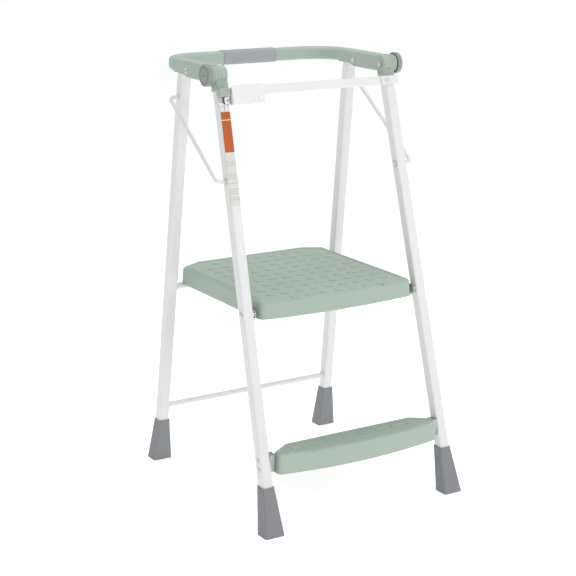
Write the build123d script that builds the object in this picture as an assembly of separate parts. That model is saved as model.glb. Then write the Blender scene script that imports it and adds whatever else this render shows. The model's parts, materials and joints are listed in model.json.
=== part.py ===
from build123d import *
import os
from math import atan2, cos, degrees, radians, sin, tan

# Folding step stool with a hand rail and a gate bar.
# X runs across the stool, +Y to the rear, +Z up. The origin is on the floor, below the middle.
# Every length is in millimetres and every angle in degrees.

# ---- driving dimensions ----
HUB_Z = 900.0            # height of the hub axis, on which the rail folds
HUB_Y = -13.8
LEG_SIZE = 23.0          # square leg tube
LEG_WALL = 1.5
LEG_CORNER = 3.5
FRONT_FOOT = (223.6, -252.9)   # where the front leg axis meets the floor, x and y
FRONT_HEAD_X = 202.2           # the same axis at hub height
REAR_FOOT = (222.7, 253.0)
REAR_HEAD = (205.6, 125.1)     # rear leg axis at hub height, x and y
TUBE_START_Z = 6.0             # the tubes stand on the boots' floors

PIVOT_Y = 89.3           # rear leg to rail pivot
PIVOT_Z = 899.0
EYE_BEND_R = 30.0        # bend of the rear leg's head

RAIL_HALF_X = 205.6      # middle of the rail's side, from the stool's middle
RAIL_WIDTH = 29.6
RAIL_HEIGHT = 28.0
RAIL_MID_Z = 906.0       # middle height of the rail's back
RAIL_CORNER_Y = 146.0    # where the straight side ends
RAIL_CORNER_R = 75.0
RAIL_WALL = 2.4
SLOT_FRONT_Y = 71.5        # slot below the rail, in which the rear leg swings
SLOT_REAR_Y = 143.5
GRIP_HALF = 66.0

DRUM_R = 18.5            # hub drum
DISC_INNER_X = 190.0     # rail's disc, inboard end
DISC_OUTER_X = 204.7
DRUM_INNER_X = 205.2     # socket drum, fixed on the front leg
DRUM_OUTER_X = 223.5
CAP_INNER_X = 224.5      # release button
CAP_OUTER_X = 235.1
CAP_R = 22.5
HUB_BORE_R = 15.0        # pocket in the drum for the lock gear and its spring
HUB_FLOOR_X = 210.5
AXLE_R = 4.0
RUNNING_GAP = 0.05

PLATFORM_TOP_Z = 457.0
PLATFORM_DEPTH_Z = 37.0
PLATFORM_HALF_X = 187.0
PLATFORM_REAR_Y = 223.0
PLATFORM_FRONT_Y = -153.0      # at the front corners
PLATFORM_BOW = 14.0            # how far the front edge bulges
PLATFORM_PIVOT_Z = 431.0
PLATFORM_PIVOT_Y = -138.4

STEP_TOP_Z = 161.0
STEP_HEIGHT = 42.0
STEP_HALF_X = 197.0
STEP_REAR_Y = -187.0
STEP_FRONT_Y = -240.0
STEP_BOW = 21.0

UPPER_BAR_R = 7.0        # crossbar under the platform
UPPER_BAR_Z = 416.0
LOWER_BAR_R = 6.2
LOWER_BAR_Z = 128.8

BOOT_HEIGHT = 96.0
BOOT_TOP = 27.5
BOOT_BASE_X = 45.0
BOOT_BASE_Y = 37.0

ROD_R = 4.0
ROD_LOW = (-68.9, 692.5)       # y and z of the rod's pivot in the front leg
ROD_HIGH = (133.7, 839.8)      # y and z of its pivot beside the rear leg
ROD_OUT_X = 238.0
ROD_BEND_R = 11.0

GATE_Z = 867.7           # gate pivot height
GATE_PIVOT_U = 183.0     # gate pivot, across
GATE_BAR = (18.0, 10.0)  # height and depth of the bar
GATE_BACK = 15.5         # the bar's back face, in front of the leg axis

PIN_R = 4.0              # platform pivot pin
PIVOT_BOLT_R = 4.0       # bolt through the rail and the rear leg
STRAP = 2.5              # thickness of the pressed steel straps

FRONT_LEAN = degrees(atan2(HUB_Y - FRONT_FOOT[1], HUB_Z))            # back from upright
REAR_LEAN = degrees(atan2(REAR_FOOT[1] - REAR_HEAD[1], HUB_Z))       # forward from upright
REAR_SPLAY = degrees(atan2(REAR_FOOT[0] - REAR_HEAD[0], HUB_Z))      # outward from upright


def save(node, shape):
    """Write one sub-part to its own file."""
    solids = shape.solids()
    export_step(Compound(children=list(solids)) if len(solids) > 1 else solids[0], f"parts/{node}.step")


def front_y(z):
    """Depth of the front leg axis at a height."""
    return FRONT_FOOT[1] + (HUB_Y - FRONT_FOOT[1]) * z / HUB_Z


def front_x(z):
    """Distance of the front leg axis from the middle, at a height."""
    return FRONT_FOOT[0] + (FRONT_HEAD_X - FRONT_FOOT[0]) * z / HUB_Z


def rear_y(z):
    return REAR_FOOT[1] + (REAR_HEAD[1] - REAR_FOOT[1]) * z / HUB_Z


def rear_x(z):
    return REAR_FOOT[0] + (REAR_HEAD[0] - REAR_FOOT[0]) * z / HUB_Z


def along_x(radius, x0, x1, y, z):
    """A cylinder that runs along X."""
    rod = extrude(Circle(radius), abs(x1 - x0))
    return Plane(origin=(min(x0, x1), y, z), x_dir=(0, 1, 0), z_dir=(1, 0, 0)) * rod


def mirror_side(shape, side):
    """Parts are drawn on the right (+X). The left ones are their mirror image."""
    return shape if side > 0 else mirror(shape, Plane.YZ)


def leg_plane(foot, head):
    """Plane across a leg tube at its foot, looking up along the tube."""
    axis = (Vector(*head) - Vector(*foot)).normalized()
    across = (Vector(1, 0, 0) - axis * axis.X).normalized()
    return Plane(origin=foot, x_dir=across, z_dir=axis)


def square_ring(size, corner, wall):
    inner = size - 2 * wall
    return RectangleRounded(size, size, corner) - RectangleRounded(inner, inner, corner - wall)


def front_leg_frame():
    """Frame of the plane through both front legs: x across, y up the legs, z out to the front."""
    lean = radians(FRONT_LEAN)
    return Plane(origin=(0, front_y(GATE_Z), GATE_Z), x_dir=(1, 0, 0), z_dir=(0, -cos(lean), sin(lean)))


def panel(u0, u1, w0, w1, n0, n1, corner=0.0):
    """A plate on the front leg frame, between two values of each coordinate."""
    width, height, depth = u1 - u0, w1 - w0, n1 - n0
    outline = RectangleRounded(width, height, corner) if corner else Rectangle(width, height)
    plate = Pos((u0 + u1) / 2, (w0 + w1) / 2, n0) * extrude(outline, depth)
    return front_leg_frame() * plate


def crown_edges(shape):
    """Edges of the face that lies furthest out to the front of the legs."""
    outward = Axis((0, 0, 0), front_leg_frame().z_dir)
    return shape.faces().sort_by(outward)[-1].edges()


def stud(radius, u, w, n0, n1):
    """A round piece that stands out of the front leg frame."""
    return front_leg_frame() * (Pos(u, w, n0) * extrude(Circle(radius), n1 - n0))


# ---- legs ----
def rod_hole(x0, x1):
    return along_x(ROD_R + RUNNING_GAP, x0, x1, *ROD_LOW)


def front_leg():
    """Front tube, from the boot to the hub socket, with the holes for the rod and the platform pin."""
    foot = Vector(front_x(TUBE_START_Z), front_y(TUBE_START_Z), TUBE_START_Z)
    head = Vector(front_x(HUB_Z), front_y(HUB_Z), HUB_Z)
    length = (head - foot).length - 21.0
    tube = leg_plane(foot, head) * extrude(square_ring(LEG_SIZE, LEG_CORNER, LEG_WALL), length)
    tube -= rod_hole(180, 250)
    return tube - along_x(PIN_R, 180, 250, PLATFORM_PIVOT_Y, PLATFORM_PIVOT_Z) - screw_shanks()


def rear_path():
    """Centre line of the rear tube: straight up, then bent forward to the rail pivot."""
    lean = radians(REAR_LEAN)
    corner_y = rear_y(PIVOT_Z)
    turn = radians(90 - REAR_LEAN)
    tangent = EYE_BEND_R * tan(turn / 2)
    low = Vector(0, rear_y(TUBE_START_Z), TUBE_START_Z)
    bend_low = Vector(0, corner_y + tangent * sin(lean), PIVOT_Z - tangent * cos(lean))
    bend_high = Vector(0, corner_y - tangent, PIVOT_Z)
    straight = Line(low, bend_low)
    bend = TangentArc(bend_low, bend_high, tangent=straight % 1)
    return Wire([straight, bend, Line(bend_high, Vector(0, PIVOT_Y, PIVOT_Z))])


def lean_in(shape):
    """Tilt a shape drawn on the YZ plane to the rear leg's splay."""
    return Pos(rear_x(PIVOT_Z), 0, PIVOT_Z) * (Rot(0, -REAR_SPLAY, 0) * (Pos(0, 0, -PIVOT_Z) * shape))


def rear_tube(size, corner):
    """A solid bar along the rear leg's path."""
    path = rear_path()
    section = Plane(origin=path @ 0, x_dir=(1, 0, 0), z_dir=path % 0) * RectangleRounded(size, size, corner)
    return sweep(section, path=path)


def rear_leg():
    outer = rear_tube(LEG_SIZE, LEG_CORNER)
    inner = rear_tube(LEG_SIZE - 2 * LEG_WALL, LEG_CORNER - LEG_WALL)
    eye = along_x(LEG_SIZE / 2, -LEG_SIZE / 2, LEG_SIZE / 2, PIVOT_Y, PIVOT_Z)
    leg = lean_in((outer - inner) + eye)
    leg -= along_x(PIVOT_BOLT_R + RUNNING_GAP, 170, 240, PIVOT_Y, PIVOT_Z)
    leg -= along_x(UPPER_BAR_R, 0, rear_x(UPPER_BAR_Z), rear_y(UPPER_BAR_Z), UPPER_BAR_Z)
    return leg - along_x(LOWER_BAR_R, 0, rear_x(LOWER_BAR_Z), rear_y(LOWER_BAR_Z), LOWER_BAR_Z)


def crossbar(radius, z, wall):
    """Round tube between the rear legs, let into the inner walls."""
    reach = rear_x(z) - LEG_SIZE / 2 + 1.0
    tube = along_x(radius, -reach, reach, rear_y(z), z)
    return tube - along_x(radius - wall, -reach, reach, rear_y(z), z)


def boot(x, y, lean_x, lean_y):
    """Flared rubber boot with a pocket for the tube. The lean is how far the leg moves over its height."""
    base = Pos(x, y, 0) * RectangleRounded(BOOT_BASE_X, BOOT_BASE_Y, 5.0)
    rim = Pos(x - lean_x, y + lean_y, BOOT_HEIGHT) * RectangleRounded(BOOT_TOP, BOOT_TOP, 5.0)
    return loft([base, rim])


def front_boot():
    drop = BOOT_HEIGHT / HUB_Z
    body = boot(*FRONT_FOOT, (FRONT_FOOT[0] - FRONT_HEAD_X) * drop, (HUB_Y - FRONT_FOOT[1]) * drop)
    foot = Vector(front_x(TUBE_START_Z), front_y(TUBE_START_Z), TUBE_START_Z)
    head = Vector(front_x(HUB_Z), front_y(HUB_Z), HUB_Z)
    return body - leg_plane(foot, head) * extrude(RectangleRounded(LEG_SIZE, LEG_SIZE, LEG_CORNER), 150)


def rear_boot():
    drop = BOOT_HEIGHT / HUB_Z
    body = boot(*REAR_FOOT, (REAR_FOOT[0] - REAR_HEAD[0]) * drop, (REAR_HEAD[1] - REAR_FOOT[1]) * drop)
    return body - lean_in(rear_tube(LEG_SIZE, LEG_CORNER))


# ---- hub: socket on the front leg, axle, lock gear, spring and release button ----
def hub_socket():
    """Green socket on the leg's head, with the drum that the rail turns beside."""
    head_x = front_x(HUB_Z)
    neck = front_leg_frame() * (Pos(head_x + 0.4, NECK_LOW_W + 14.5, 0) * Box(NECK_SIZE, 29.0, NECK_SIZE))
    disc_room = along_x(DRUM_R + 0.6, 150, DRUM_INNER_X, HUB_Y, HUB_Z)
    drum = along_x(DRUM_R, DRUM_INNER_X, DRUM_OUTER_X, HUB_Y, HUB_Z)
    neck = fillet(neck.edges().filter_by(Axis((0, 0, 0), front_leg_frame().y_dir)), 3.5) - disc_room
    grooves = [along_x(DRUM_R + 1, x, x + 0.8, HUB_Y, HUB_Z) - along_x(DRUM_R - 0.6, x, x + 0.8, HUB_Y, HUB_Z)
               for x in (211.0, 217.5)]
    body = drum + neck - along_x(HUB_BORE_R, HUB_FLOOR_X, 240, HUB_Y, HUB_Z)
    foot = Vector(front_x(TUBE_START_Z), front_y(TUBE_START_Z), TUBE_START_Z)
    head = Vector(head_x, HUB_Y, HUB_Z)
    pocket = leg_plane(foot, head) * extrude(RectangleRounded(LEG_SIZE, LEG_SIZE, LEG_CORNER),
                                             (head - foot).length - 21.0)
    return body - grooves - pocket - along_x(AXLE_R, 180, HUB_FLOOR_X, HUB_Y, HUB_Z)


def hub_axle():
    """Shouldered bolt through the rail's disc, with its pan head inboard."""
    shank = along_x(AXLE_R, DISC_INNER_X, HUB_FLOOR_X, HUB_Y, HUB_Z)
    head = along_x(6.2, DISC_INNER_X - 2.4, DISC_INNER_X, HUB_Y, HUB_Z)
    head = fillet(head.edges().group_by(Axis.X)[0], 1.6)
    slot = Pos(DISC_INNER_X - 2.4, HUB_Y, HUB_Z) * Box(2.0, 7.5, 1.4)
    return shank + head - slot


def lock_gear():
    """Toothed ring that slides in the drum and locks the rail."""
    ring = along_x(11.5, 218.0, 223.0, HUB_Y, HUB_Z)
    for tooth in range(8):
        arm = Pos(220.5, 0, 12.3) * Box(5.0, 4.4, 3.6)
        ring += Pos(0, HUB_Y, HUB_Z) * (Rot(45 * tooth, 0, 0) * arm)
    return ring - along_x(4.5, 210, 230, HUB_Y, HUB_Z)


def coil_spring(x0, x1, radius, wire, turns):
    """Compression spring along X."""
    path = Helix(pitch=(x1 - x0 - 2 * wire) / turns, height=x1 - x0 - 2 * wire, radius=radius)
    coil = sweep(Plane(origin=path @ 0, z_dir=path % 0) * Circle(wire), path=path, is_frenet=True)
    return Plane(origin=(x0 + wire, HUB_Y, HUB_Z), x_dir=(0, 1, 0), z_dir=(1, 0, 0)) * coil


def release_button():
    """Cup-shaped cap that is pressed inward, with a stem that carries the lock gear."""
    cap = along_x(CAP_R, CAP_INNER_X, CAP_OUTER_X, HUB_Y, HUB_Z)
    cap = fillet(cap.edges().group_by(Axis.X)[-1], 2.2)
    cap -= along_x(DRUM_R + 0.7, CAP_INNER_X, CAP_OUTER_X - 4.0, HUB_Y, HUB_Z)
    cap += along_x(4.5, 218.0, CAP_OUTER_X - 2.0, HUB_Y, HUB_Z)
    rim = along_x(17.5, CAP_OUTER_X - 0.9, CAP_OUTER_X, HUB_Y, HUB_Z)
    cap -= rim - along_x(16.2, CAP_OUTER_X - 1, CAP_OUTER_X + 1, HUB_Y, HUB_Z)
    bar = Pos(CAP_OUTER_X - 0.5, HUB_Y, HUB_Z) * Box(1.0, 17.0, 2.0)
    return cap - bar


# ---- rail ----
def rail_profile():
    """Side view of the rail's side: a slim bar that widens towards the hub, with a boss at the pivot."""
    top = RAIL_MID_Z + RAIL_HEIGHT / 2
    low = RAIL_MID_Z - RAIL_HEIGHT / 2
    outline = Polyline((HUB_Y, HUB_Z + DRUM_R), (RAIL_CORNER_Y, top), (RAIL_CORNER_Y, low), (106, low - 0.6),
                       (88, low - 5.6), (60, low - 6.4), (20, low - 6.8), (HUB_Y + 6, HUB_Z - 15), close=True)
    return Plane.YZ * make_face(outline)


def rail_side():
    """Whole side of the rail before it is hollowed and split."""
    low_x = RAIL_HALF_X - RAIL_WIDTH / 2
    bar = Pos(low_x, 0, 0) * extrude(rail_profile(), RAIL_WIDTH)
    long_edges = [e for e in bar.edges() if abs(e.center().X - RAIL_HALF_X) > 10 and e.length > 20]
    bar = fillet([e for e in long_edges if e.center().Z > RAIL_MID_Z], 7.0)
    bar += along_x(DRUM_R, low_x, DRUM_OUTER_X - 4, HUB_Y, HUB_Z)
    drum_room = along_x(DRUM_R + 0.8, DISC_OUTER_X + 0.25, 240, HUB_Y, HUB_Z)
    neck_room = Pos(RAIL_HALF_X + 15, HUB_Y - 20, HUB_Z - 12) * Box(60, 40, 40)
    return bar - drum_room - (neck_room - along_x(DRUM_R, 150, DISC_OUTER_X, HUB_Y, HUB_Z))


def rail_hollow():
    """Room inside the rail's side, with the slot that the rear leg swings in."""
    top = RAIL_MID_Z + RAIL_HEIGHT / 2 - RAIL_WALL
    low = RAIL_MID_Z - RAIL_HEIGHT / 2 + RAIL_WALL
    half = RAIL_WIDTH / 2 - RAIL_WALL
    outline = Polyline((22, top - 0.7), (RAIL_CORNER_Y + 1, top), (RAIL_CORNER_Y + 1, low), (104, low),
                       (86, low - 5), (22, low - 5), close=True)
    room = Pos(RAIL_HALF_X - half, 0, 0) * extrude(Plane.YZ * make_face(outline), 2 * half)
    slot = Pos(RAIL_HALF_X, (SLOT_FRONT_Y + SLOT_REAR_Y) / 2, 890) * Box(2 * half, SLOT_REAR_Y - SLOT_FRONT_Y, 40)
    return room + slot


def rail_sides():
    """Outer and inner half of one side, split down the middle, bored for the pivot bolt and the axle."""
    side = rail_side() - rail_hollow()
    side -= along_x(PIVOT_BOLT_R, 170, 240, PIVOT_Y, PIVOT_Z)
    side -= along_x(AXLE_R + RUNNING_GAP, 170, 240, HUB_Y, HUB_Z)
    half = Box(60, 400, 200)
    outer = side & (Pos(RAIL_HALF_X + 30, 60, 900) * half)
    inner = side & (Pos(RAIL_HALF_X - 30, 60, 900) * half)
    return outer, inner


def rail_path():
    """Centre line of the rail's back, from one side's end to the other's."""
    x, y, r = RAIL_HALF_X, RAIL_CORNER_Y, RAIL_CORNER_R
    z = RAIL_MID_Z
    start = Line((-x, y, z), (-x, y + 2, z))
    left = TangentArc((-x, y + 2, z), (-x + r, y + 2 + r, z), tangent=(0, 1, 0))
    back = Line((-x + r, y + 2 + r, z), (x - r, y + 2 + r, z))
    right = TangentArc((x - r, y + 2 + r, z), (x, y + 2, z), tangent=(1, 0, 0))
    return Wire([start, left, back, right, Line((x, y + 2, z), (x, y, z))])


def rail_bar(width, height, corner):
    """Solid of one section along the rail's back."""
    path = rail_path()
    section = Plane(origin=path @ 0, x_dir=(1, 0, 0), z_dir=(0, 1, 0)) * RectangleRounded(width, height, corner)
    return sweep(section, path=path)


def rail_back_covers():
    """Upper and lower half of the cover round the rail's back."""
    outer = rail_bar(RAIL_WIDTH, RAIL_HEIGHT, 9.0)
    inner = rail_bar(RAIL_WIDTH - 2 * RAIL_WALL, RAIL_HEIGHT - 2 * RAIL_WALL, 6.5)
    cover = outer - inner
    half = Box(600, 600, 60)
    return cover & (Pos(0, 200, RAIL_MID_Z + 30) * half), cover & (Pos(0, 200, RAIL_MID_Z - 30) * half)


def rail_core_tube():
    """Steel tube inside the rail's back."""
    path = rail_path()
    plane = Plane(origin=path @ 0, x_dir=(1, 0, 0), z_dir=(0, 1, 0))
    return sweep(plane * (Circle(9.5) - Circle(8.0)), path=path)


def core_saddles():
    """Ribs that hold the core tube in its cover."""
    y = RAIL_CORNER_Y + 2 + RAIL_CORNER_R
    blocks = []
    for x in (-110, -40, 40, 110):
        plan = RectangleRounded(RAIL_WIDTH - 2 * RAIL_WALL - 0.2, RAIL_HEIGHT - 2 * RAIL_WALL - 0.2, 6.5)
        rib = Plane(origin=(x, y, RAIL_MID_Z), x_dir=(0, 1, 0), z_dir=(1, 0, 0)) * extrude(plan, 3.0)
        blocks.append(rib - along_x(9.5, -200, 200, y, RAIL_MID_Z))
    return Compound(children=blocks)


def grip():
    """Soft sleeve round the middle of the rail's back."""
    y = RAIL_CORNER_Y + 2 + RAIL_CORNER_R
    plane = Plane(origin=(-GRIP_HALF, y, RAIL_MID_Z), x_dir=(0, 1, 0), z_dir=(1, 0, 0))
    outer = plane * extrude(RectangleRounded(RAIL_WIDTH + 3.0, RAIL_HEIGHT + 3.0, 10.5), 2 * GRIP_HALF)
    outer = fillet(outer.edges().group_by(Axis.X)[0] + outer.edges().group_by(Axis.X)[-1], 1.0)
    return outer - plane * extrude(RectangleRounded(RAIL_WIDTH, RAIL_HEIGHT, 9.0), 2 * GRIP_HALF)


def pivot_bolt():
    """Bolt through the rail and the rear leg's eye, with a head on both faces."""
    out = RAIL_HALF_X + RAIL_WIDTH / 2
    inn = RAIL_HALF_X - RAIL_WIDTH / 2
    bolt = along_x(PIVOT_BOLT_R, inn, out, PIVOT_Y, PIVOT_Z)
    outer_head = along_x(6.5, out, out + 2.2, PIVOT_Y, PIVOT_Z)
    inner_head = along_x(6.0, inn - 2.0, inn, PIVOT_Y, PIVOT_Z)
    outer_head = fillet(outer_head.edges().group_by(Axis.X)[-1], 1.5)
    inner_head = fillet(inner_head.edges().group_by(Axis.X)[0], 1.4)
    hex_socket = Plane(origin=(out + 1.0, PIVOT_Y, PIVOT_Z), x_dir=(0, 1, 0), z_dir=(1, 0, 0))
    return bolt + outer_head + inner_head - hex_socket * extrude(RegularPolygon(2.6, 6), 3)


# ---- platform ----
def bowed_outline(half_x, rear_y_, rear_cut, front_y_, bow, corner):
    """Plan of a tread: chamfered rear corners and a front edge that bulges."""
    cut_x, cut_y = rear_cut
    sides = Polyline((half_x, front_y_), (half_x, rear_y_ - cut_y), (half_x - cut_x, rear_y_),
                     (-half_x + cut_x, rear_y_), (-half_x, rear_y_ - cut_y), (-half_x, front_y_))
    front = ThreePointArc((-half_x, front_y_), (0, front_y_ - bow), (half_x, front_y_))
    return fillet(make_face(sides + front).vertices(), corner)


def tread_shell(half_x, rear, cut, front, bow, corner, top_z, depth, wall, edge_r):
    """Moulded tread: a rounded top with a skirt, open below."""
    plan = bowed_outline(half_x, rear, cut, front, bow, corner)
    solid = Pos(0, 0, top_z - depth) * extrude(plan, depth, taper=4)
    solid = fillet(solid.edges().group_by(Axis.Z)[-1], edge_r)
    core = bowed_outline(half_x - wall, rear - wall, cut, front + wall, bow, corner - wall)
    return solid - Pos(0, 0, top_z - depth) * extrude(core, depth - wall, taper=4)


def platform_shell():
    """Green platform with cross ribs below and a recess in each side for the crossbar."""
    shell = tread_shell(PLATFORM_HALF_X, PLATFORM_REAR_Y, (46, 27), PLATFORM_FRONT_Y, PLATFORM_BOW, 14.0,
                        PLATFORM_TOP_Z, PLATFORM_DEPTH_Z, 3.2, 7.0)
    for y in (-90, -20, 50, 120):
        shell += Pos(0, y, PLATFORM_TOP_Z - 12) * Box(2 * PLATFORM_HALF_X - 12, 3.0, 20)
    for x in (-100, 0, 100):
        shell += Pos(x, 20, PLATFORM_TOP_Z - 12) * Box(3.0, 300, 20)
    bar_y = rear_y(UPPER_BAR_Z)
    shell -= along_x(UPPER_BAR_R + 0.4, -260, 260, bar_y, UPPER_BAR_Z)
    return shell - Pos(0, bar_y - 4, UPPER_BAR_Z - 4) * Box(520, 2 * UPPER_BAR_R + 12, 14)


def platform_strap():
    """Steel strap below the platform's skirt, turned up as a tab that the pin goes through."""
    lug_x = front_x(PLATFORM_PIVOT_Z) - LEG_SIZE / 2 - 4.5
    low_z = PLATFORM_TOP_Z - PLATFORM_DEPTH_Z - STRAP
    web_top = PLATFORM_PIVOT_Z + 9
    lug = along_x(9.0, lug_x - STRAP, lug_x, PLATFORM_PIVOT_Y, PLATFORM_PIVOT_Z)
    web = Pos(lug_x - STRAP / 2, PLATFORM_PIVOT_Y + 16, (low_z + web_top) / 2) * Box(STRAP, 32, web_top - low_z)
    flange_x = PLATFORM_HALF_X - 32
    flange = Pos((lug_x + flange_x) / 2, PLATFORM_PIVOT_Y + 23, low_z + STRAP / 2) * Box(lug_x - flange_x, 18, STRAP)
    strap = lug + web + flange
    return strap - along_x(PIN_R + RUNNING_GAP, 150, 240, PLATFORM_PIVOT_Y, PLATFORM_PIVOT_Z)


def platform_pin():
    """Pin through the leg, with a head outboard and a washer between the leg and the tab."""
    x = front_x(PLATFORM_PIVOT_Z)
    outer = x + LEG_SIZE / 2 + 0.3
    inner = x - LEG_SIZE / 2 - 0.3
    tip = inner - 4.2 - STRAP - 2.0
    pin = along_x(PIN_R, tip, outer + 0.4, PLATFORM_PIVOT_Y, PLATFORM_PIVOT_Z)
    head = fillet(along_x(6.5, outer, outer + 2.4, PLATFORM_PIVOT_Y, PLATFORM_PIVOT_Z).edges().group_by(Axis.X)[-1], 1.5)
    washer = along_x(7.5, inner - 3.6, inner, PLATFORM_PIVOT_Y, PLATFORM_PIVOT_Z)
    return pin + head + washer


# ---- lower step ----
def lower_step():
    """Green lower tread between the front legs."""
    shell = tread_shell(STEP_HALF_X, STEP_REAR_Y, (40, 27), STEP_FRONT_Y, STEP_BOW, 10.0,
                        STEP_TOP_Z, STEP_HEIGHT, 3.0, 6.0)
    for x in (-120, -40, 40, 120):
        shell += Pos(x, -222, STEP_TOP_Z - 14) * Box(2.5, 58, 24)
    shanks = screw_shanks()
    return shell - shanks - [mirror_side(shank, -1) for shank in shanks]


def step_bracket():
    """Steel plate between the leg and the step's end."""
    z = STEP_TOP_Z - STEP_HEIGHT / 2
    inner_face = front_x(z) - LEG_SIZE / 2
    plate = Pos((STEP_HALF_X + inner_face) / 2, front_y(z), z) * Box(inner_face + 2 - STEP_HALF_X, 19, 36)
    foot = Vector(front_x(0), front_y(0), 0)
    leg = leg_plane(foot, Vector(front_x(HUB_Z), HUB_Y, HUB_Z)) * extrude(Rectangle(LEG_SIZE, LEG_SIZE), 300)
    return plate - leg - tread_block() - screw_shanks()


def tread_block():
    """Outside of the lower step, filled in."""
    plan = bowed_outline(STEP_HALF_X, STEP_REAR_Y, (40, 27), STEP_FRONT_Y, STEP_BOW, 10.0)
    return Pos(0, 0, STEP_TOP_Z - STEP_HEIGHT) * extrude(plan, STEP_HEIGHT, taper=4)


def screw_heights():
    return STEP_TOP_Z - 14, STEP_TOP_Z - STEP_HEIGHT + 10


def screw_shanks():
    """Shanks of the two screws that run through the leg and the bracket into the step's end."""
    low_x, high_x = STEP_HALF_X - 8, FRONT_FOOT[0] + LEG_SIZE
    return [along_x(2.5, low_x, high_x, front_y(z), z) for z in screw_heights()]


def bracket_screws():
    """Screws with round heads on the leg's outer face."""
    screws = []
    for z in screw_heights():
        x = front_x(z) + LEG_SIZE / 2 + 0.15
        head = fillet(along_x(5.0, x, x + 2.4, front_y(z), z).edges().group_by(Axis.X)[-1], 1.4)
        screws.append(head + along_x(2.5, STEP_HALF_X - 8, x, front_y(z), z))
    return screws


# ---- link rods ----
def link_rod():
    """Round rod bent inboard at both ends: through the front leg below, beside the rear leg above."""
    tip_low = front_x(ROD_LOW[1]) - LEG_SIZE / 2 - 4.6
    tip_high = rear_x(ROD_HIGH[1]) + LEG_SIZE / 2 + 0.8
    path = FilletPolyline((tip_low, *ROD_LOW), (ROD_OUT_X, *ROD_LOW), (ROD_OUT_X, *ROD_HIGH),
                          (tip_high, *ROD_HIGH), radius=ROD_BEND_R)
    return sweep(Plane(origin=path @ 0, z_dir=path % 0) * Circle(ROD_R), path=path)


def rod_nuts():
    """Push nut inboard and collar outboard, which keep the rod in the leg."""
    x = front_x(ROD_LOW[1])
    nut = along_x(7.0, x - LEG_SIZE / 2 - 3.2, x - LEG_SIZE / 2 - 0.4, *ROD_LOW)
    collar = along_x(6.5, x + LEG_SIZE / 2 + 0.4, x + LEG_SIZE / 2 + 2.4, *ROD_LOW)
    bore = along_x(ROD_R, x - 30, x + 30, *ROD_LOW)
    return Compound(children=[fillet(nut.edges().group_by(Axis.X)[0], 1.5) - bore, collar - bore])


# ---- gate ----
GATE_W = -5.0            # height of the gate's pivot in the leg frame
NECK_LOW_W = 1.0         # lower end of the hub socket's neck in the leg frame
NECK_SIZE = 27.0
GATE_RIVET_R = 3.0
HOUSING_U = (-192.0, -119.0)
HOUSING_W = (-31.0, 7.0)
HOUSING_N = (13.8, 28.5)
TONGUE_N = 17.2
TONGUE_T = 1.6
LATCH_W = -21.5          # height of the latch in the leg frame
DETENT_U = -199.6


def gate_bar():
    """Flat steel bar, rounded at its pivot."""
    height, depth = GATE_BAR
    end_u = HOUSING_U[0] + 45
    front = GATE_BACK + depth
    bar = panel(end_u, GATE_PIVOT_U, GATE_W - height / 2, GATE_W + height / 2, GATE_BACK, front)
    bar += stud(height / 2, GATE_PIVOT_U, GATE_W, GATE_BACK, front)
    long_edges = [e for e in bar.edges() if e.length > 250]
    bar = fillet(long_edges, 2.5)
    return bar - stud(GATE_RIVET_R + RUNNING_GAP, GATE_PIVOT_U, GATE_W, 0, 60)


def gate_bracket():
    """Bracket on the right leg: a front and a back plate, joined by a block beside the bar's end."""
    low, high = GATE_W - 8.5, GATE_W + 8.5
    plate_n = GATE_BACK + GATE_BAR[1] + 0.7
    front = panel(170.5, 212.0, low, high, plate_n, plate_n + STRAP, 3.0)
    block = panel(195.0, 212.0, low + 1, NECK_LOW_W - 0.3, LEG_SIZE / 2, plate_n)
    back = panel(172.0, 197.0, low + 1, NECK_LOW_W - 0.3, 12.3, GATE_BACK - 0.7)
    return front + block + back - stud(GATE_RIVET_R, GATE_PIVOT_U, GATE_W, 0, 60)


def gate_rivet():
    plate_n = GATE_BACK + GATE_BAR[1] + 0.7 + STRAP
    head = stud(5.0, GATE_PIVOT_U, GATE_W, plate_n, plate_n + 2.0)
    head = fillet(crown_edges(head), 1.5)
    return head + stud(GATE_RIVET_R, GATE_PIVOT_U, GATE_W, 12.3, plate_n)


def housing_block(inset, n0, n1):
    """Box inside the latch housing's outline, with its upper outer corner cut."""
    u0, u1 = HOUSING_U[0] + inset, HOUSING_U[1] - inset
    w0, w1 = HOUSING_W[0] + inset, HOUSING_W[1] - inset
    outline = Polyline((u0, w0), (u1, w0), (u1, w1), (u0 + 11, w1), (u0, w1 - 5), close=True)
    face = fillet(make_face(outline).vertices(), 1.5)
    return front_leg_frame() * (Pos(0, 0, n0) * extrude(face, n1 - n0))


def bar_envelope():
    height, depth = GATE_BAR
    low, high = GATE_W - height / 2, GATE_W + height / 2
    return panel(HOUSING_U[0] + 20, HOUSING_U[1] + 20, low, high, GATE_BACK, GATE_BACK + depth)


def latch_slot():
    """Opening in the housing's end for the tongue."""
    return panel(HOUSING_U[0] - 5, HOUSING_U[0] + 10, LATCH_W - 8.6, LATCH_W + 8.6, TONGUE_N - 0.4,
                 TONGUE_N + TONGUE_T + 0.4)


def latch_housing():
    """White cover over the gate bar's end."""
    shell = housing_block(0, *HOUSING_N)
    shell = fillet(crown_edges(shell), 1.6) - housing_block(2.0, HOUSING_N[0] - 1, HOUSING_N[1] - 2.0)
    return shell - bar_envelope() - latch_slot()


def latch_back():
    """Plate that closes the housing, with a slot for the thumb tab."""
    plate = housing_block(2.2, HOUSING_N[0], GATE_BACK - 0.1)
    return plate - panel(-172, -146, LATCH_W - 5.5, LATCH_W + 5.5, 0, 20, 2.0)


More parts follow.
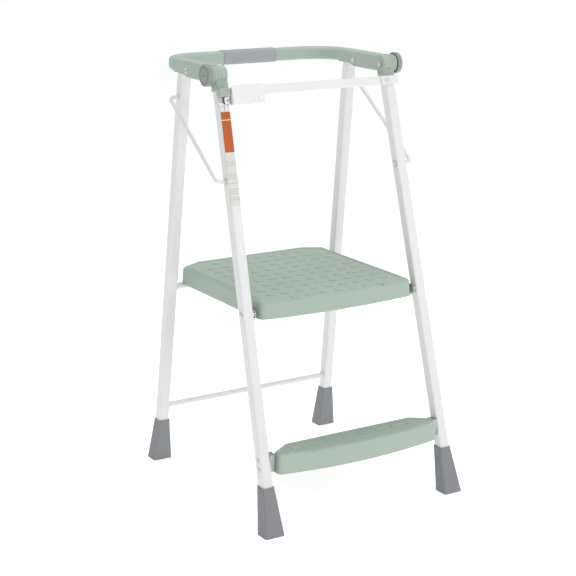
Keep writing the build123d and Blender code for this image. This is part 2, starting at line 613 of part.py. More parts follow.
def latch_tongue():
    """Sliding latch: a tongue with an eye, and a thumb tab that stands out behind the housing."""
    tongue = panel(-206, -165, LATCH_W - 6.9, LATCH_W + 6.9, TONGUE_N, TONGUE_N + TONGUE_T, 2.5)
    body = panel(-170, -156, LATCH_W - 5, LATCH_W + 3, HOUSING_N[0] - 3.0, TONGUE_N + TONGUE_T)
    ridges = [panel(u, u + 1.5, LATCH_W - 5, LATCH_W + 3, HOUSING_N[0] - 3.8, HOUSING_N[0] - 3.0)
              for u in (-168, -164, -160)]
    return tongue + body + ridges - stud(2.3, DETENT_U, LATCH_W - 0.5, 0, 40)


def tongue_spring():
    """Spring that pushes the tongue out."""
    length, wire = 25.0, 0.6
    path = Helix(pitch=(length - 2 * wire) / 8, height=length - 2 * wire, radius=2.6)
    coil = sweep(Plane(origin=path @ 0, z_dir=path % 0) * Circle(wire), path=path, is_frenet=True)
    place = Plane(origin=(-155.0, LATCH_W - 1, TONGUE_N + 3.0), x_dir=(0, 1, 0), z_dir=(1, 0, 0))
    return front_leg_frame() * (place * coil)


def housing_screws():
    """Two rivets on the housing's face."""
    top = HOUSING_N[1]
    rivets = []
    for u, w in ((-128.7, -21.4), (-133.0, 1.0)):
        head = stud(2.6, u, w, top, top + 1.2)
        rivets.append(fillet(crown_edges(head), 0.9))
    return Compound(children=rivets)


def latch_block():
    """Green block on the left leg, above the latch: the gate's upper stop."""
    block = panel(-218.5, -197.0, -14.0, 3.0, LEG_SIZE / 2, 29.5, 2.0)
    block = fillet(crown_edges(block), 1.5)
    recess = panel(-213.5, -202.0, -11.0, 0.0, 28.7, 31.0, 1.0)
    neck_room = panel(-240, -180, NECK_LOW_W - 0.1, 10, 0, NECK_SIZE / 2 + 0.1)
    return block - recess - neck_room


def latch_strike():
    """Steel keeper below the block: a window, a detent dome and a tail."""
    plate = panel(-218.0, -195.5, -31.0, -14.4, LEG_SIZE / 2, 14.5, 1.5)
    tail = panel(-204.5, -197.5, -43.0, -30.0, LEG_SIZE / 2, 13.0, 2.0)
    cone = Cone(3.0, 1.6, 2.6, align=(Align.CENTER, Align.CENTER, Align.MIN))
    dome = front_leg_frame() * (Pos(DETENT_U, LATCH_W - 0.5, 14.0) * cone)
    return plate + tail + dome - panel(-216.0, -207.5, -25.0, -16.0, 0, 40)


def neck_rivets():
    """Rivets at the back of each socket's neck."""
    rivets = []
    for side in (1, -1):
        head = stud(4.0, side * front_x(870), 8.0, -15.0, -13.5)
        rivets.append(head)
    return Compound(children=rivets)


# ---- labels ----
def leg_strip(z0, z1, width):
    """Thin plastic strip on the left leg's front face, between two heights."""
    foot = Vector(front_x(0), front_y(0), 0)
    head = Vector(front_x(HUB_Z), front_y(HUB_Z), HUB_Z)
    scale = (head - foot).length / HUB_Z
    length = (z1 - z0) * scale
    strip = Pos(0, -LEG_SIZE / 2 - 0.2, z0 * scale + length / 2) * Box(width, 0.4, length)
    strip = fillet(strip.edges().filter_by(Axis.Y), 1.2)
    return mirror(leg_plane(foot, head) * strip, Plane.YZ)


def main():
    os.makedirs("parts", exist_ok=True)
    outer_rail, inner_rail = rail_sides()
    cover_top, cover_low = rail_back_covers()
    pairs = {
        "front_leg": front_leg(), "rear_leg": rear_leg(), "front_boot": front_boot(), "rear_boot": rear_boot(),
        "hub_socket": hub_socket(), "hub_axle": hub_axle(), "lock_gear": lock_gear(),
        "release_button": release_button(), "button_spring": coil_spring(211.0, 217.8, 7.5, 0.7, 3.5),
        "rail_side_outer": outer_rail, "rail_side_inner": inner_rail, "rail_pivot_bolt": pivot_bolt(),
        "link_rod": link_rod(), "rod_nuts": rod_nuts(), "platform_strap": platform_strap(),
        "platform_pin": platform_pin(), "step_bracket": step_bracket(),
    }
    for name, shape in pairs.items():
        save(f"{name}_right", shape)
        save(f"{name}_left", mirror_side(shape, -1))
    right_screws = bracket_screws()
    singles = {
        "rear_upper_crossbar": crossbar(UPPER_BAR_R, UPPER_BAR_Z, 1.4),
        "rear_lower_crossbar": crossbar(LOWER_BAR_R, LOWER_BAR_Z, 1.2),
        "rail_cover_upper": cover_top, "rail_cover_lower": cover_low, "rail_core_tube": rail_core_tube(),
        "rail_core_saddles": core_saddles(), "rail_grip": grip(), "platform": platform_shell(),
        "lower_step": lower_step(), "gate_bar": gate_bar(), "gate_bracket": gate_bracket(),
        "gate_rivet": gate_rivet(), "latch_housing": latch_housing(), "latch_back_plate": latch_back(),
        "latch_tongue": latch_tongue(), "latch_spring": tongue_spring(), "housing_rivets": housing_screws(),
        "latch_block": latch_block(), "latch_strike": latch_strike(), "neck_rivets": neck_rivets(),
        "step_screws": Compound(children=right_screws + [mirror_side(s, -1) for s in right_screws]),
        "orange_strip": leg_strip(747.5, 826.0, 21.0), "white_label": leg_strip(644.0, 746.0, 21.0),
    }
    for name, shape in singles.items():
        save(name, shape)


if __name__ == "__main__":
    main()
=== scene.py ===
"""Looks of a folding step stool: finishes, moulded grip patterns, welds and springs."""

import json
import logging
import math
from dataclasses import dataclass, field
from enum import Enum
from typing import Callable, Dict, Iterable, List, Tuple

import bmesh
import bpy
from mathutils import Euler, Matrix, Vector


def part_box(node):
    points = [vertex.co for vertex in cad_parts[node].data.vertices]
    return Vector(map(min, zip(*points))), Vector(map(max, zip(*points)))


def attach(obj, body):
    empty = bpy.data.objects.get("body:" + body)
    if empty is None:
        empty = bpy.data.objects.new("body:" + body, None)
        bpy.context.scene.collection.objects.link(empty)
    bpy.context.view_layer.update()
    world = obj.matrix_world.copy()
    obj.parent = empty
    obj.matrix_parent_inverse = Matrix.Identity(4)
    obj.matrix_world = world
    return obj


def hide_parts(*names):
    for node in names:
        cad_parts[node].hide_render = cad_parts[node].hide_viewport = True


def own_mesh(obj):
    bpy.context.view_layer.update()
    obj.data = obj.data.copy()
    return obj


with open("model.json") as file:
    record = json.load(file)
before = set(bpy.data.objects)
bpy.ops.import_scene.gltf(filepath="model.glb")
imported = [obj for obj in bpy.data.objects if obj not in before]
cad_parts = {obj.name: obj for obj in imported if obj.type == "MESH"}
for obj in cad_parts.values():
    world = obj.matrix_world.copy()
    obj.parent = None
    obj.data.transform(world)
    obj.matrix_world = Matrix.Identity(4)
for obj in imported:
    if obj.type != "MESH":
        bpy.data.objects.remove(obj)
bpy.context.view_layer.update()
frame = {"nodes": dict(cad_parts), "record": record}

log = logging.getLogger("step_stool")

Colour = Tuple[float, float, float]
Point = Tuple[float, float, float]
MM = 0.001
FLOOR_GLOW = 0.48        # light that the pale floor gives off by itself
SURROUND_LIGHT = 0.56    # the white surround's light on the stool
CREVICE_REACH = 0.006    # how far into a corner the painted shade reaches, in metres
LABEL_BAR_DEPTH = 1.6    # in millimetres, as the bars' heights are
LABEL_BAR_HEIGHTS = (658, 662, 670, 674, 678, 690, 700, 704, 708, 724, 728, 732)
SPRING_STEPS = 28        # sections in one turn of a spring
MIX_SHARE, MIX_UNDER, MIX_OVER, MIX_RESULT = 0, 6, 7, 2    # a colour Mix node's sockets


class Slot(Enum):
    """Material slots of the stool, by the name that the record gives them."""

    WHITE_STEEL = "white_steel"
    GREEN_PLASTIC = "green_plastic"
    GREY_RUBBER = "grey_rubber"
    GRIP_RUBBER = "grip_rubber"
    GREY_PLASTIC = "grey_plastic"
    ZINC_STEEL = "zinc_steel"
    BARE_STEEL = "bare_steel"
    WHITE_PLASTIC = "white_plastic"
    ORANGE_FILM = "orange_film"
    WHITE_FILM = "white_film"


def linear(red: int, green: int, blue: int) -> Colour:
    """Turn a screen colour of 0 to 255 a channel into linear light."""

    def channel(value: int) -> float:
        share = value / 255
        return share / 12.92 if share <= 0.04045 else ((share + 0.055) / 1.055) ** 2.4

    return channel(red), channel(green), channel(blue)


# ---- shader node groups ----
class NodeGroups:
    """The surface effects that several finishes share, each built once."""

    def __init__(self) -> None:
        """Build the grain, painted crevice shade and handling groups."""
        self.grain = self._grain()
        self.rub = self._rub()
        self.painted_shade = self._painted_shade()

    @staticmethod
    def _new(name: str, inputs: Dict[str, float], outputs: List[str]) -> bpy.types.NodeTree:
        """Make an empty group with its sockets.

        Args:
            name: The group's name.
            inputs: Default value of each input.
            outputs: Name of each output.

        Returns:
            The node tree, with a group input and a group output in it.
        """
        tree = bpy.data.node_groups.new(name, "ShaderNodeTree")
        for label, default in inputs.items():
            socket = tree.interface.new_socket(label, in_out="INPUT", socket_type="NodeSocketFloat")
            socket.default_value = default
        for label in outputs:
            tree.interface.new_socket(label, in_out="OUTPUT", socket_type="NodeSocketFloat")
        tree.nodes.new("NodeGroupInput").name = "in"
        tree.nodes.new("NodeGroupOutput").name = "out"
        return tree

    @staticmethod
    def _math(tree: bpy.types.NodeTree, operation: str, *values: object) -> bpy.types.NodeSocket:
        """Add a Math node whose inputs are sockets or plain numbers, and return its result."""
        node = tree.nodes.new("ShaderNodeMath")
        node.operation = operation
        for index, value in enumerate(values):
            if isinstance(value, (int, float)):
                node.inputs[index].default_value = value
            else:
                tree.links.new(value, node.inputs[index])
        return node.outputs[0]

    @staticmethod
    def _noise(tree: bpy.types.NodeTree, scale: object, detail: float, rough: float) -> bpy.types.NodeSocket:
        """Add a noise texture on object coordinates and return its value."""
        coords = tree.nodes.new("ShaderNodeTexCoord")
        noise = tree.nodes.new("ShaderNodeTexNoise")
        noise.inputs["Detail"].default_value = detail
        noise.inputs["Roughness"].default_value = rough
        tree.links.new(coords.outputs["Object"], noise.inputs["Vector"])
        if isinstance(scale, (int, float)):
            noise.inputs["Scale"].default_value = scale
        else:
            tree.links.new(scale, noise.inputs["Scale"])
        return noise.outputs[0]

    def _grain(self) -> bpy.types.NodeTree:
        """Fine moulded or sprayed texture: a height, and a shade that varies with it."""
        tree = self._new("fine_grain", {"Scale": 900.0, "Depth": 1.0, "Mottle": 0.02},
                         ["Height", "Shade"])
        entry, out = tree.nodes["in"], tree.nodes["out"]
        fine = self._noise(tree, entry.outputs["Scale"], 2.0, 0.55)
        tree.links.new(self._math(tree, "MULTIPLY", fine, entry.outputs["Depth"]), out.inputs["Height"])
        broad = self._noise(tree, 14.0, 3.0, 0.5)
        centred = self._math(tree, "SUBTRACT", broad, 0.5)
        speck = self._math(tree, "MULTIPLY", self._math(tree, "SUBTRACT", fine, 0.5), 0.6)
        swing = self._math(tree, "MULTIPLY", self._math(tree, "ADD", centred, speck), entry.outputs["Mottle"])
        tree.links.new(self._math(tree, "ADD", swing, 1.0), out.inputs["Shade"])
        return tree

    def _rub(self) -> bpy.types.NodeTree:
        """Uneven gloss, as hands and cleaning leave it."""
        tree = self._new("handling", {"Roughness": 0.4, "Spread": 0.06}, ["Roughness"])
        entry, out = tree.nodes["in"], tree.nodes["out"]
        patches = self._math(tree, "SUBTRACT", self._noise(tree, 22.0, 4.0, 0.6), 0.5)
        swing = self._math(tree, "MULTIPLY", patches, entry.outputs["Spread"])
        tree.links.new(self._math(tree, "ADD", swing, entry.outputs["Roughness"]), out.inputs["Roughness"])
        return tree

    def _painted_shade(self) -> bpy.types.NodeTree:
        """Painted shade: faint darkening in corners and crevices, from ambient occlusion."""
        tree = self._new("shade_in_crevices", {"Amount": 0.3, "Reach": CREVICE_REACH}, ["Mask"])
        entry, out = tree.nodes["in"], tree.nodes["out"]
        # painted shade: ambient occlusion marks where corners and crevices fall in shade
        occlusion = tree.nodes.new("ShaderNodeAmbientOcclusion")
        occlusion.samples = 4
        occlusion.only_local = True
        tree.links.new(entry.outputs["Reach"], occlusion.inputs["Distance"])
        closed = self._math(tree, "SUBTRACT", 1.0, occlusion.outputs["AO"])
        tree.links.new(self._math(tree, "MULTIPLY", closed, entry.outputs["Amount"]), out.inputs["Mask"])
        return tree


# ---- finishes ----
def blend(tree: bpy.types.NodeTree, share: bpy.types.NodeSocket, under: bpy.types.NodeSocket,
          over: Colour) -> bpy.types.NodeSocket:
    """Lay a plain colour over a varying one.

    Args:
        tree: The material's nodes.
        share: How much of the plain colour shows, 0 to 1.
        under: The varying colour.
        over: The plain colour.

    Returns:
        The mixed colour.
    """
    mixed = tree.nodes.new("ShaderNodeMix")
    mixed.data_type = "RGBA"
    mixed.inputs[MIX_OVER].default_value = (*over, 1.0)
    tree.links.new(share, mixed.inputs[MIX_SHARE])
    tree.links.new(under, mixed.inputs[MIX_UNDER])
    return mixed.outputs[MIX_RESULT]


@dataclass(frozen=True)
class Finish:
    """One finish of the stool, built as a Principled material.

    Sizes of grain are per metre, because every piece's object coordinates are in metres.
    """

    name: str
    colour: Colour
    roughness: float = 0.45
    metallic: float = 0.0
    grain_scale: float = 900.0
    grain_depth: float = 0.00004
    mottle: float = 0.03
    spread: float = 0.06
    # how strongly painted shade darkens this finish in corners and crevices
    shade_in_crevices: float = 0.25
    coat: float = 0.0
    specular: float = 0.5

    def base(self, tree: bpy.types.NodeTree) -> bpy.types.NodeSocket:
        """The colour before the grain's random mottle and the painted crevice shade. A finish with a pattern
        overrides this.
        """
        rgb = tree.nodes.new("ShaderNodeRGB")
        rgb.outputs[0].default_value = (*self.colour, 1.0)
        return rgb.outputs[0]

    def material(self, groups: NodeGroups) -> bpy.types.Material:
        """Build the material.

        Args:
            groups: The shared surface effects.

        Returns:
            A material whose colour, gloss and bump vary over the surface.
        """
        made = bpy.data.materials.new(self.name)
        made.use_nodes = True
        tree = made.node_tree
        shader = tree.nodes["Principled BSDF"]
        shader.inputs["Metallic"].default_value = self.metallic
        shader.inputs["Coat Weight"].default_value = self.coat
        shader.inputs["Coat Roughness"].default_value = 0.15
        shader.inputs["Specular IOR Level"].default_value = self.specular
        grain = self._place(tree, groups.grain, Scale=self.grain_scale, Depth=1.0, Mottle=self.mottle)
        rub = self._place(tree, groups.rub, Roughness=self.roughness, Spread=self.spread)
        # painted shade: ambient occlusion darkens the colour in corners and crevices
        painted_shade = self._place(tree, groups.painted_shade, Amount=self.shade_in_crevices, Reach=CREVICE_REACH)
        tree.links.new(self._mottled_and_shaded(tree, grain, painted_shade), shader.inputs["Base Color"])
        tree.links.new(rub.outputs["Roughness"], shader.inputs["Roughness"])
        bump = tree.nodes.new("ShaderNodeBump")
        bump.inputs["Strength"].default_value = 1.0
        bump.inputs["Distance"].default_value = self.grain_depth
        tree.links.new(grain.outputs["Height"], bump.inputs["Height"])
        tree.links.new(bump.outputs["Normal"], shader.inputs["Normal"])
        return made

    def _mottled_and_shaded(self, tree: bpy.types.NodeTree, grain: bpy.types.Node,
                painted_shade: bpy.types.Node) -> bpy.types.NodeSocket:
        """Vary the base colour with the grain's random mottle, and darken it with painted shade in crevices."""
        shaded = tree.nodes.new("ShaderNodeVectorMath")
        shaded.operation = "SCALE"
        tree.links.new(self.base(tree), shaded.inputs[0])
        tree.links.new(grain.outputs["Shade"], shaded.inputs["Scale"])
        # painted shade colour, laid into corners and crevices
        painted_shade_colour = tuple(channel * 0.55 for channel in self.colour)
        return blend(tree, painted_shade.outputs["Mask"], shaded.outputs[0], painted_shade_colour)

    @staticmethod
    def _place(tree: bpy.types.NodeTree, group: bpy.types.NodeTree, **values: float) -> bpy.types.Node:
        """Place a group in a material with its own values."""
        node = tree.nodes.new("ShaderNodeGroup")
        node.node_tree = group
        for label, value in values.items():
            node.inputs[label].default_value = value
        return node


@dataclass(frozen=True)
class PrintedFilm(Finish):
    """A printed film: a ground colour with plain bars across it, and no lettering."""

    bar_colour: Colour = (0.6, 0.6, 0.6)
    bars: Tuple[Tuple[float, float], ...] = ()

    def base(self, tree: bpy.types.NodeTree) -> bpy.types.NodeSocket:
        """Mix the bar colour into the ground between each pair of heights."""
        coords = tree.nodes.new("ShaderNodeTexCoord")
        split = tree.nodes.new("ShaderNodeSeparateXYZ")
        tree.links.new(coords.outputs["Object"], split.inputs[0])
        colour = super().base(tree)
        for low, high in self.bars:
            above = NodeGroups._math(tree, "GREATER_THAN", split.outputs["Z"], low)
            below = NodeGroups._math(tree, "LESS_THAN", split.outputs["Z"], high)
            inside = NodeGroups._math(tree, "MULTIPLY", above, below)
            colour = blend(tree, inside, colour, self.bar_colour)
        return colour


class Wardrobe:
    """Every finish, ready to put on CAD nodes and on new pieces."""

    def __init__(self) -> None:
        """Build the finishes' materials."""
        groups = NodeGroups()
        marks = tuple((z * MM, (z + LABEL_BAR_DEPTH) * MM) for z in LABEL_BAR_HEIGHTS)
        self.finishes: Dict[Slot, Finish] = {
            Slot.WHITE_STEEL: Finish("white_powder_coat", linear(228, 228, 229), 0.38, grain_scale=700.0,
                                     grain_depth=0.00005, mottle=0.015, shade_in_crevices=0.18, specular=0.45),
            Slot.GREEN_PLASTIC: Finish("sage_polypropylene", linear(166, 184, 171), 0.52, grain_scale=1100.0,
                                       grain_depth=0.00009, mottle=0.03, shade_in_crevices=0.35, specular=0.4),
            Slot.GREY_RUBBER: Finish("boot_rubber", linear(136, 138, 142), 0.68, grain_scale=800.0,
                                     grain_depth=0.00012, mottle=0.06, shade_in_crevices=0.3, specular=0.3),
            Slot.GRIP_RUBBER: Finish("soft_grip", linear(160, 164, 168), 0.6, grain_scale=1300.0,
                                     grain_depth=0.00012, mottle=0.05, specular=0.35),
            Slot.GREY_PLASTIC: Finish("button_plastic", linear(140, 150, 144), 0.45, grain_scale=1100.0,
                                      grain_depth=0.00006, mottle=0.03),
            Slot.ZINC_STEEL: Finish("zinc_plate", linear(206, 207, 205), 0.32, 0.9, 500.0, 0.00003, 0.06, 0.12),
            Slot.BARE_STEEL: Finish("galvanised_steel", linear(176, 178, 180), 0.38, 0.85, 350.0,
                                    0.00004, 0.1, 0.15),
            Slot.WHITE_PLASTIC: Finish("white_moulding", linear(230, 230, 231), 0.42, grain_scale=1100.0,
                                       grain_depth=0.00006, mottle=0.015, shade_in_crevices=0.2),
            Slot.ORANGE_FILM: PrintedFilm("orange_film", linear(188, 90, 20), 0.45, mottle=0.03, specular=0.3,
                                          bar_colour=linear(238, 226, 214), bars=((0.8125, 0.8142),)),
            Slot.WHITE_FILM: PrintedFilm("white_film", linear(220, 218, 214), 0.5, mottle=0.02, specular=0.3,
                                         bar_colour=linear(196, 192, 186), bars=marks),
        }
        self.materials = {slot: finish.material(groups) for slot, finish in self.finishes.items()}

    def dress(self, piece: bpy.types.Object, slot: Slot) -> None:
        """Give a piece one finish, in every material slot it has."""
        if not piece.material_slots:
            piece.data.materials.append(None)
        for holder in piece.material_slots:
            holder.material = self.materials[slot]

    def dress_nodes(self, nodes: Dict[str, bpy.types.Object], subparts: Iterable[Dict[str, str]]) -> None:
        """Put the right finish on every CAD node."""
        for entry in subparts:
            self.dress(nodes[entry["node"]], Slot(entry["material_slot"]))
        log.info("dressed %d frame nodes", len(nodes))


# ---- mesh helpers ----
def finished_piece(name: str, mesh: bmesh.types.BMesh, smooth_angle: float = 35.0) -> bpy.types.Object:
    """Turn a bmesh into an object at the origin.

    Args:
        name: The new object's name.
        mesh: The shape, in metres in the shared frame. It is freed.
        smooth_angle: Faces that meet at less than this many degrees are shaded smooth.

    Returns:
        The object, linked to the scene.
    """
    bmesh.ops.recalc_face_normals(mesh, faces=mesh.faces)
    limit = math.radians(smooth_angle)
    for face in mesh.faces:
        face.smooth = True
    for edge in mesh.edges:
        edge.smooth = len(edge.link_faces) != 2 or edge.calc_face_angle(0.0) < limit
    data = bpy.data.meshes.new(name)
    mesh.to_mesh(data)
    mesh.free()
    piece = bpy.data.objects.new(name, data)
    bpy.context.scene.collection.objects.link(piece)
    return piece


def oval_stud(mesh: bmesh.types.BMesh, half_x: float, half_y: float, height: float, round_over: float) -> List:
    """Add a low oval stud at the origin, with a rounded top edge.

    Args:
        mesh: The bmesh to add to.
        half_x: Half of its length.
        half_y: Half of its width.
        height: How far it stands up.
        round_over: Radius of the top edge.

    Returns:
        The stud's vertices, edges and faces.
    """
    before = set(mesh.verts)
    made = bmesh.ops.create_circle(mesh, cap_ends=True, segments=28, radius=1.0)
    bmesh.ops.scale(mesh, vec=(half_x, half_y, 1.0), verts=made["verts"])
    foot = [f for f in mesh.faces if f.verts[0] not in before]
    raised = bmesh.ops.extrude_face_region(mesh, geom=foot)["geom"]
    top = [item for item in raised if isinstance(item, bmesh.types.BMVert)]
    bmesh.ops.translate(mesh, vec=(0, 0, height), verts=top)
    rim = [item for item in raised if isinstance(item, bmesh.types.BMEdge)]
    bmesh.ops.bevel(mesh, geom=rim, offset=round_over, segments=4, profile=0.5, affect="EDGES", material=-1)
    verts = [v for v in mesh.verts if v not in before]
    faces = {f for v in verts for f in v.link_faces}
    edges = {e for v in verts for e in v.link_edges}
    return [*verts, *edges, *faces]


# ---- sub-assemblies ----
@dataclass
class TreadGrip:
    """Moulded grip pattern on a tread: rows of oval studs and a low rim along the edges."""

    name: str
    body: str
    top_z: float
    columns: List[float]
    rows: List[float]
    oval: Tuple[float, float]
    rim_path: List[Tuple[float, float]]
    stud_height: float = 1.7 * MM
    rim_half: float = 4.2 * MM
    rim_height: float = 2.0 * MM
    sink: float = 0.4 * MM
    stud_edge: float = 1.5 * MM
    skip: Callable[[float, float], bool] = field(default=lambda x, y: False)

    def build(self) -> bpy.types.Object:
        """Make the studs and the rim as one mesh that is set a little into the tread."""
        mesh = bmesh.new()
        self._studs(mesh)
        self._rim(mesh)
        return finished_piece(self.name, mesh, 50.0)

    def _studs(self, mesh: bmesh.types.BMesh) -> None:
        """Copy one stud to every place of the grid."""
        master = oval_stud(mesh, *self.oval, self.stud_height + self.sink, self.stud_edge)
        for x in self.columns:
            for y in self.rows:
                if self.skip(x, y):
                    continue
                copied = bmesh.ops.duplicate(mesh, geom=master)["geom"]
                moved = [item for item in copied if isinstance(item, bmesh.types.BMVert)]
                bmesh.ops.translate(mesh, vec=(x, y, self.top_z - self.sink), verts=moved)
        first = [item for item in master if isinstance(item, bmesh.types.BMVert)]
        bmesh.ops.delete(mesh, geom=first, context="VERTS")

    def _rim(self, mesh: bmesh.types.BMesh) -> None:
        """Run a low half-round bead along the rim path."""
        for start, end in zip(self.rim_path, self.rim_path[1:]):
            run = Vector((end[0] - start[0], end[1] - start[1], 0))
            made = bmesh.ops.create_cone(mesh, cap_ends=True, segments=16, radius1=1.0, radius2=1.0, depth=1.0)
            verts = made["verts"]
            bmesh.ops.scale(mesh, vec=(self.rim_half, self.rim_height, run.length), verts=verts)
            turn = Matrix.Rotation(math.pi / 2, 3, "X")
            bmesh.ops.rotate(mesh, cent=(0, 0, 0), matrix=turn, verts=verts)
            heading = Matrix.Rotation(math.atan2(run.y, run.x) - math.pi / 2, 3, "Z")
            bmesh.ops.rotate(mesh, cent=(0, 0, 0), matrix=heading, verts=verts)
            middle = Vector(((start[0] + end[0]) / 2, (start[1] + end[1]) / 2, self.top_z))
            bmesh.ops.translate(mesh, vec=middle, verts=verts)
        for x, y in self.rim_path:
            made = bmesh.ops.create_uvsphere(mesh, u_segments=20, v_segments=10, radius=1.0)
            size = (self.rim_half, self.rim_half, self.rim_height)
            bmesh.ops.scale(mesh, vec=size, verts=made["verts"])
            bmesh.ops.translate(mesh, vec=(x, y, self.top_z), verts=made["verts"])


@dataclass
class WeldBeads:
    """Weld beads where the two crossbars run into the rear legs."""

    name: str = "crossbar_welds"
    body: str = "rear_frame"
    bead: float = 1.3 * MM
    inset: float = 4.2 * MM

    def build(self) -> bpy.types.Object:
        """Spin a small bead round each end of each bar."""
        mesh = bmesh.new()
        for node in ("rear_upper_crossbar", "rear_lower_crossbar"):
            low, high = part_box(node)
            centre = (low + high) / 2
            radius = (high.z - low.z) / 2
            for x in (low.x + self.inset, high.x - self.inset):
                self._ring(mesh, Vector((x, centre.y, centre.z)), radius)
        return finished_piece(self.name, mesh, 60.0)

    def _ring(self, mesh: bmesh.types.BMesh, centre: Vector, radius: float) -> None:
        """Add one round bead ring about the X axis."""
        made = bmesh.ops.create_circle(mesh, cap_ends=False, segments=10, radius=self.bead)
        verts = made["verts"]
        bmesh.ops.translate(mesh, vec=(0, radius + self.bead * 0.3, 0), verts=verts)
        edges = list({e for v in verts for e in v.link_edges})
        bmesh.ops.spin(mesh, geom=[*verts, *edges], cent=(0, 0, 0), axis=(1, 0, 0),
                       angle=math.tau, steps=36, use_merge=True)
        ring = [v for v in mesh.verts if v.co.length < radius + 4 * self.bead]
        bmesh.ops.translate(mesh, vec=centre, verts=ring)


@dataclass
class CoilSpring:
    """Round-wire compression spring that stands for a plain frame node."""

    node: str
    body: str
    wire: float
    turns: int
    joint: str
    travel: float
    held_high: bool

    def build(self) -> bpy.types.Object:
        """Screw a wire section along X, inside the node's box, and hide the node that it stands for."""
        low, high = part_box(self.node)
        centre = (low + high) / 2
        radius = (high.z - low.z) / 2 - self.wire
        length = (high.x - low.x) - 2 * self.wire
        mesh = bmesh.new()
        made = bmesh.ops.create_circle(mesh, cap_ends=True, segments=10, radius=self.wire)
        verts = made["verts"]
        bmesh.ops.rotate(mesh, cent=(0, 0, 0), matrix=Matrix.Rotation(math.pi / 2, 3, "X"), verts=verts)
        bmesh.ops.translate(mesh, vec=(low.x + self.wire, centre.y, centre.z), verts=verts)
        bmesh.ops.rotate(mesh, cent=(low.x + self.wire, centre.y, centre.z),
                         matrix=Matrix.Rotation(math.pi / 2, 3, "Z"), verts=verts)
        bmesh.ops.translate(mesh, vec=(0, 0, radius), verts=verts)
        self._screw(mesh, centre, length)
        piece = finished_piece("coil_" + self.node, mesh, 60.0)
        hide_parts(self.node)
        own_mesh(piece)
        return piece

    def _screw(self, mesh: bmesh.types.BMesh, centre: Vector, length: float) -> None:
        """Turn the wire section about X while it moves along X."""
        steps = SPRING_STEPS * self.turns
        bmesh.ops.spin(mesh, geom=[*mesh.verts, *mesh.edges, *mesh.faces], cent=(0, centre.y, centre.z),
                       axis=(1, 0, 0), dvec=(length / steps, 0, 0), angle=math.tau * self.turns, steps=steps)


def facing(place: Point, aim: Point) -> Euler:
    """Turn an object's -Z axis from one place towards another."""
    return (Vector(aim) - Vector(place)).to_track_quat("-Z", "Y").to_euler()


@dataclass(frozen=True)
class SoftBox:
    """One square light."""

    name: str
    place: Point
    size: float
    power: float

    def hang(self, aim: Point) -> None:
        """Put the light up, facing a point."""
        data = bpy.data.lights.new(self.name, "AREA")
        data.size = self.size
        data.energy = self.power
        lamp = bpy.data.objects.new(self.name, data)
        lamp.location = self.place
        lamp.rotation_euler = facing(self.place, aim)
        bpy.context.scene.collection.objects.link(lamp)


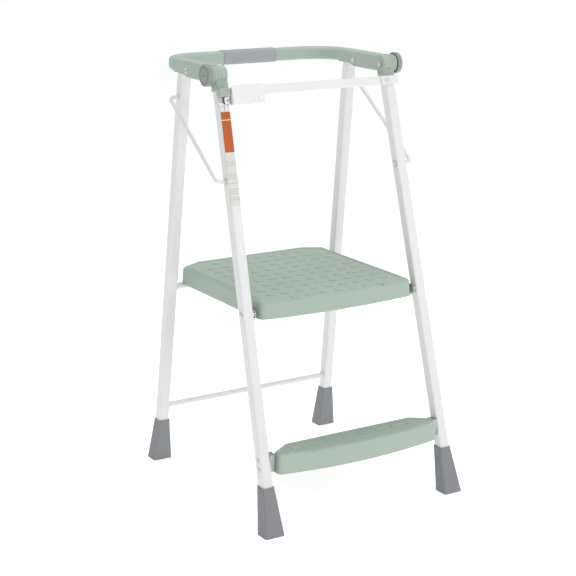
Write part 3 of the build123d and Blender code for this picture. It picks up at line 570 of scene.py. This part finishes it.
@dataclass
class Studio:
    """Pale floor, soft light and the camera."""

    camera_at: Point = (-1.6144, -2.6093, 1.2362)
    aim: Point = (-0.0052, 0.0415, 0.4187)
    lens: float = 91.73
    sensor: float = 36.0
    boxes: Tuple[SoftBox, ...] = (SoftBox("key", (1.0, -3.0, 1.8), 1.6, 27.0),
                                  SoftBox("top", (0.0, 0.6, 3.4), 2.4, 44.0))

    def build(self) -> None:
        """Set up everything that isn't the stool."""
        self._floor()
        self._world()
        for box in self.boxes:
            box.hang(self.aim)
        self._camera()
        bpy.context.scene.view_settings.view_transform = "Standard"

    @staticmethod
    def _floor() -> None:
        """A wide plain floor that glows faintly, so that it stays as pale as the surround."""
        mesh = bmesh.new()
        bmesh.ops.create_grid(mesh, x_segments=2, y_segments=2, size=30.0)
        floor = finished_piece("floor", mesh)
        paint = bpy.data.materials.new("floor_paint")
        paint.use_nodes = True
        shader = paint.node_tree.nodes["Principled BSDF"]
        shader.inputs["Base Color"].default_value = (0.9, 0.9, 0.9, 1.0)
        shader.inputs["Roughness"].default_value = 0.9
        shader.inputs["Specular IOR Level"].default_value = 0.1
        shader.inputs["Emission Color"].default_value = (1.0, 1.0, 1.0, 1.0)
        shader.inputs["Emission Strength"].default_value = FLOOR_GLOW
        floor.data.materials.append(paint)

    @staticmethod
    def _world() -> None:
        """A white surround that lights the stool less than it shows."""
        world = bpy.data.worlds.new("surround")
        bpy.context.scene.world = world
        world.use_nodes = True
        tree = world.node_tree
        path = tree.nodes.new("ShaderNodeLightPath")
        level = tree.nodes.new("ShaderNodeMapRange")
        level.inputs["To Min"].default_value = SURROUND_LIGHT
        level.inputs["To Max"].default_value = 1.0
        sky = tree.nodes["Background"]
        sky.inputs["Color"].default_value = (1.0, 1.0, 1.0, 1.0)
        tree.links.new(path.outputs["Is Camera Ray"], level.inputs["Value"])
        tree.links.new(level.outputs[0], sky.inputs["Strength"])

    def _camera(self) -> None:
        """Point the camera at the stool."""
        data = bpy.data.cameras.new("camera")
        data.lens = self.lens
        data.sensor_width = self.sensor
        data.clip_end = 100.0
        camera = bpy.data.objects.new("camera", data)
        camera.location = self.camera_at
        camera.rotation_euler = facing(self.camera_at, self.aim)
        bpy.context.scene.collection.objects.link(camera)
        bpy.context.scene.camera = camera


def treads() -> List[TreadGrip]:
    """The grip patterns of the platform and of the lower step."""
    pitch_x, pitch_y = 35.2 * MM, 36.8 * MM
    platform = TreadGrip(
        name="platform_grip", body="platform", top_z=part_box("platform")[1].z,
        columns=[(i - 4) * pitch_x + 0.4 * MM for i in range(9)],
        rows=[-0.149 + j * pitch_y for j in range(10)], oval=(9.0 * MM, 7.5 * MM),
        rim_path=[(-0.174, -0.125), (-0.174, 0.190), (-0.133, 0.212),
                  (0.133, 0.212), (0.174, 0.190), (0.174, -0.125)],
        skip=lambda x, y: abs(x) > 0.118 and (y > 0.170 or y < -0.140))
    step = TreadGrip(
        name="step_grip", body="front_frame", top_z=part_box("lower_step")[1].z,
        columns=[(i - 3.5) * 41.0 * MM for i in range(8)], rows=[-0.2205], oval=(13.5 * MM, 8.5 * MM),
        rim_path=[(-0.186, -0.222), (-0.153, -0.197), (0.153, -0.197), (0.186, -0.222)])
    return [platform, step]


def springs() -> List[CoilSpring]:
    """The coil springs behind the hub buttons and the latch tongue."""
    return [CoilSpring("button_spring_left", "front_frame", 0.45 * MM, 3, "button_press_left", 3.5 * MM, True),
            CoilSpring("button_spring_right", "front_frame", 0.45 * MM, 3, "button_press_right", 3.5 * MM, False),
            CoilSpring("latch_spring", "gate", 0.35 * MM, 10, "latch_slide", 8.0 * MM, True)]


def main() -> None:
    """Dress the frame, add the detail pieces and light them."""
    logging.basicConfig(level=logging.INFO, format="%(message)s")
    wardrobe = Wardrobe()
    wardrobe.dress_nodes(frame["nodes"], frame["record"]["subparts"])
    parts: List[Tuple[object, Slot]] = [(grip, Slot.GREEN_PLASTIC) for grip in treads()]
    parts.append((WeldBeads(), Slot.WHITE_STEEL))
    parts += [(spring, Slot.ZINC_STEEL) for spring in springs()]
    for maker, slot in parts:
        piece = maker.build()
        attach(piece, maker.body)
        wardrobe.dress(piece, slot)
        log.info("built %s on %s", piece.name, maker.body)
    Studio().build()


if __name__ == "__main__":
    main()
